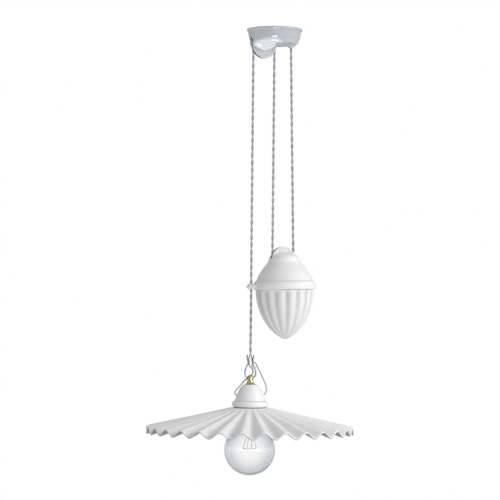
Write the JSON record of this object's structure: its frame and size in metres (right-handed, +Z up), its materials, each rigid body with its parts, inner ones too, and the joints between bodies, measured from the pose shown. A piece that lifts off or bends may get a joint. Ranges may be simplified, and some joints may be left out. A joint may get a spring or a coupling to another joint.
{
  "type": "rise and fall pendant light",
  "caption": "White ceramic rise and fall pendant: ceiling rose with pulley, fluted counterweight with pulley, twisted cord, pleated shade and globe bulb.",
  "frame": {"origin": "centre of the rose on the ceiling, in the plane of the ceiling", "axes": "+Z up, +X from the lamp's strand towards the counterweight, all strands in the XZ plane"},
  "size_m": [0.388, 0.388, 0.838],
  "materials": {
    "zinc": "zinc plated",
    "steel": "bare steel",
    "pulley_glaze": "glossy white glaze",
    "brass": "satin brass",
    "rose_glaze": "glossy cool white glaze",
    "nickel": "nickel plated",
    "white_plastic": "moulded white plastic",
    "block_plastic": "moulded black plastic",
    "cord": "braided textile, pale grey and white",
    "shade_glaze": "satin warm white glaze",
    "seal": "cork and rubber sheet",
    "iron": "raw cast iron",
    "holder_glaze": "glossy white glaze",
    "porcelain": "unglazed white porcelain",
    "bulb_glass": "clear glass",
    "black_glass": "black vitrite",
    "stem_glass": "clear glass",
    "tungsten": "drawn tungsten"
  },
  "bodies": {
    "rose": {"ceiling_plate": "zinc", "plate_pillars": "zinc", "pulley_yoke": "zinc", "yoke_rivets": "steel", "rose_axle": "steel", "rose_shell": "rose_glaze", "rose_screws": "nickel", "outlet_bush": "white_plastic", "cord_anchor": "block_plastic", "anchor_screws": "zinc", "terminal_block": "block_plastic", "terminal_screws": "brass", "cord_tail": "cord", "cord_over_rose_pulley": "cord", "cord_fixed_run": "cord", "cord_middle_run": "cord", "cord_lamp_run": "cord"},
    "rose_wheel": {"rose_pulley": "pulley_glaze", "rose_pulley_bush": "brass"},
    "counterweight": {"weight_cap": "shade_glaze", "weight_bowl": "shade_glaze", "weight_seal": "seal", "weight_fork": "zinc", "weight_axle": "steel", "tie_rod": "zinc", "rod_nuts": "zinc", "ballast": "iron", "tip_insert": "brass", "cord_under_weight_pulley": "cord"},
    "weight_wheel": {"weight_pulley": "pulley_glaze", "weight_pulley_bush": "brass"},
    "hanger": {"cord_hook": "nickel", "cord_knot": "cord"},
    "lamp": {"hook_stem": "brass", "nipple": "zinc", "nipple_nuts": "zinc", "holder_cover": "holder_glaze", "inlet_bushes": "white_plastic", "holder_bridge": "zinc", "bridge_screws": "steel", "lampholder_body": "porcelain", "holder_terminals": "brass", "holder_terminal_screws": "brass", "screw_shell": "brass", "centre_contact": "brass", "shade_seal": "seal", "shade": "shade_glaze", "shade_ring": "white_plastic", "conductor_left": "cord", "conductor_right": "cord"},
    "bulb_tip": {"bulb_contact": "nickel"},
    "bulb": {"bulb_glass": "bulb_glass", "bulb_cap": "nickel", "bulb_insulator": "black_glass", "bulb_stem": "stem_glass", "bulb_wires": "nickel", "bulb_filament": "tungsten"}
  },
  "joints": [
    {"name": "lamp_rise", "type": "slide", "parent": "rose", "child": "hanger", "axis": [0, 0, 1], "range_m": [-0.65, 0.06], "deforming": ["cord_lamp_run"]},
    {"name": "weight_slide", "type": "slide", "parent": "rose", "child": "counterweight", "axis": [0, 0, 1], "range_m": [-0.03, 0.325], "deforming": ["cord_fixed_run", "cord_middle_run"]},
    {"name": "rose_pulley_spin", "type": "hinge", "parent": "rose", "child": "rose_wheel", "pos_m": [-0.021, 0, -0.0325], "axis": [0, 1, 0], "range_deg": [-1774, 164]},
    {"name": "weight_pulley_spin", "type": "hinge", "parent": "counterweight", "child": "weight_wheel", "pos_m": [0.021, 0, -0.433], "axis": [0, 1, 0], "range_deg": [-82, 887]},
    {"name": "lamp_swing", "type": "hinge", "parent": "hanger", "child": "lamp", "pos_m": [-0.042, 0, -0.655], "axis": [1, 0, 0], "range_deg": [-15, 15], "deforming": ["conductor_left", "conductor_right"]},
    {"name": "bulb_feed", "type": "slide", "parent": "lamp", "child": "bulb_tip", "axis": [0, 0, -1], "range_m": [0, 0.018]},
    {"name": "bulb_turn", "type": "hinge", "parent": "bulb_tip", "child": "bulb", "pos_m": [-0.042, 0, -0.7], "axis": [0, 0, -1], "range_deg": [0, 1800]}
  ],
  "couplings": [
    {"joint": "weight_slide", "follows": "lamp_rise", "ratio": -0.5},
    {"joint": "rose_pulley_spin", "follows": "lamp_rise", "rad_per_m": 47.619},
    {"joint": "weight_pulley_spin", "follows": "lamp_rise", "rad_per_m": -23.809},
    {"joint": "bulb_feed", "follows": "bulb_turn", "m_per_rad": 0.000573}
  ]
}
